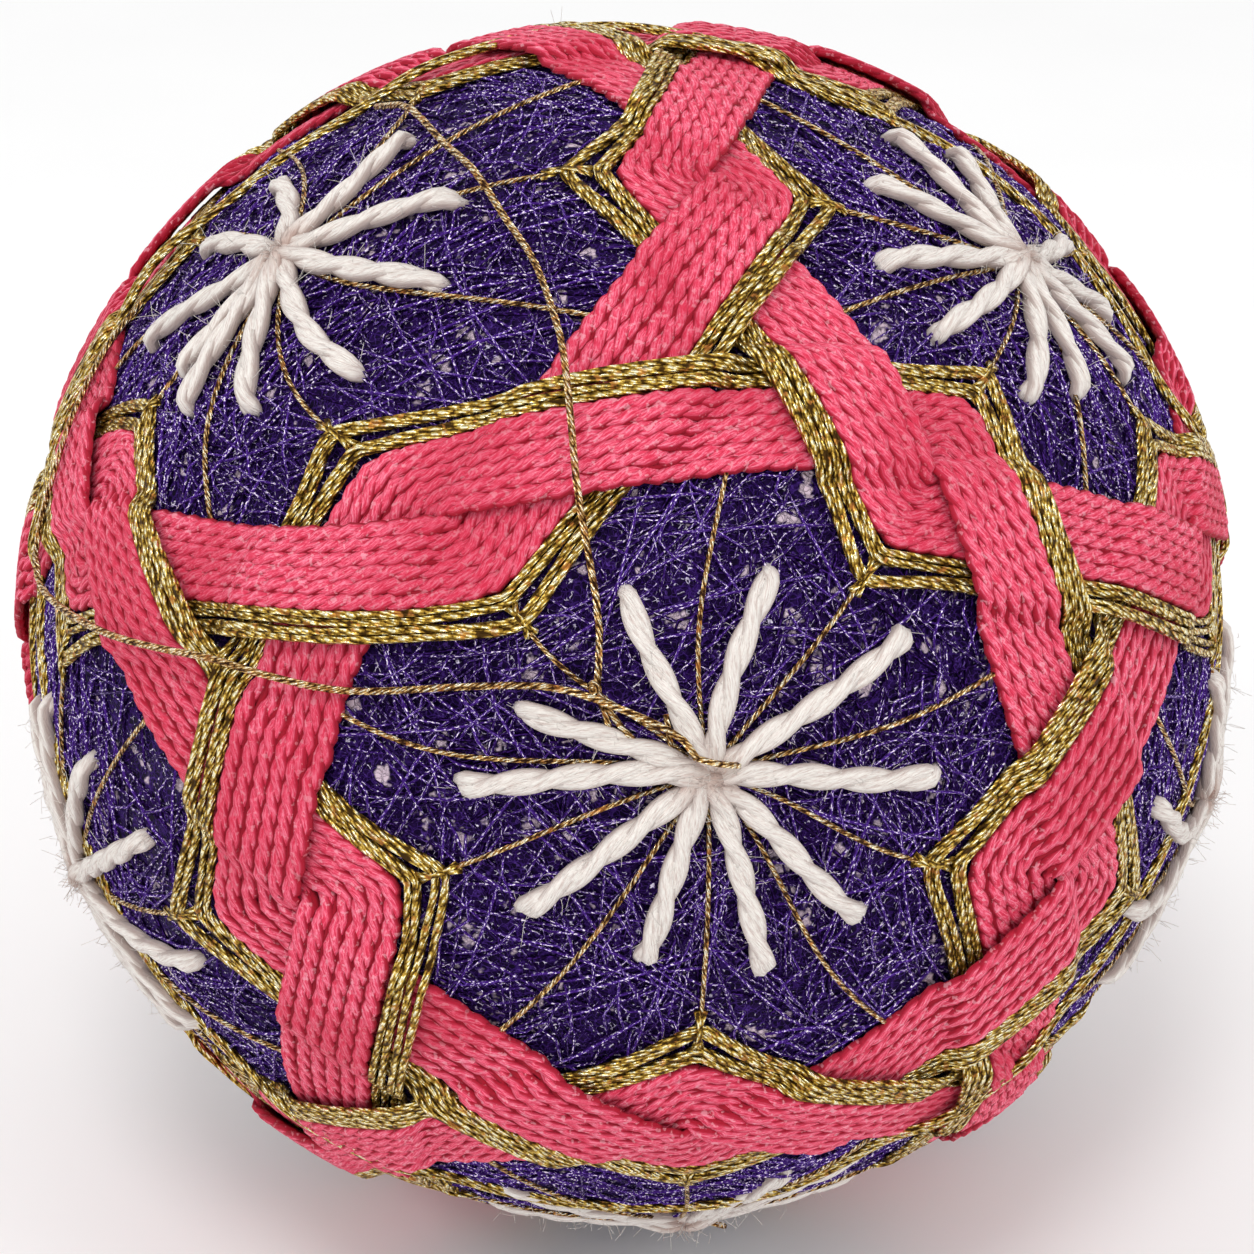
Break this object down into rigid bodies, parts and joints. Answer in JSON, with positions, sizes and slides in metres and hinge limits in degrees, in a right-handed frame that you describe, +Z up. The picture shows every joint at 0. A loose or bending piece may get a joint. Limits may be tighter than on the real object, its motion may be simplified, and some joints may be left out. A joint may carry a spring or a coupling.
{
  "type": "temari ball",
  "caption": "Wound thread ball with interlaced pink pentagon bands edged in gold, white rayed stars between them, and a small flat spot to rest on.",
  "frame": {"origin": "the middle of the underside of the ball, in the plane of the flat spot that it rests on", "axes": "+Z up through the ball's centre; -Y towards the star that faces the viewer"},
  "size_m": [0.0832, 0.0822, 0.0825],
  "materials": {
    "violet_winding": "fine metallic violet thread wound in every direction",
    "pink_cotton": "twisted pearl cotton in close parallel rows, soft sheen",
    "gold_braid": "sparkling metallic gold braid",
    "white_cotton": "thick soft matte two-ply cotton"
  },
  "bodies": {
    "root": {"core": "violet_winding", "band_front": "pink_cotton", "band_top_left": "pink_cotton", "band_top_right": "pink_cotton", "band_top_back": "pink_cotton", "band_back_right": "pink_cotton", "band_back_left": "pink_cotton", "band_left": "pink_cotton", "band_right": "pink_cotton", "band_back": "pink_cotton", "band_under_front": "pink_cotton", "band_under_right": "pink_cotton", "band_under_left": "pink_cotton", "edging_front": "gold_braid", "edging_top_left": "gold_braid", "edging_top_right": "gold_braid", "edging_top_back": "gold_braid", "edging_back_right": "gold_braid", "edging_back_left": "gold_braid", "edging_left": "gold_braid", "edging_right": "gold_braid", "edging_back": "gold_braid", "edging_under_front": "gold_braid", "edging_under_right": "gold_braid", "edging_under_left": "gold_braid", "star_front": "white_cotton", "star_top_left": "white_cotton", "star_top_right": "white_cotton", "star_top_back": "white_cotton", "star_back_right": "white_cotton", "star_back_left": "white_cotton", "star_left": "white_cotton", "star_right": "white_cotton", "star_back": "white_cotton", "star_under_front": "white_cotton", "star_under_right": "white_cotton", "star_under_left": "white_cotton", "loose_thread_upper": "gold_braid", "loose_thread_left": "gold_braid"}
  },
  "joints": []
}
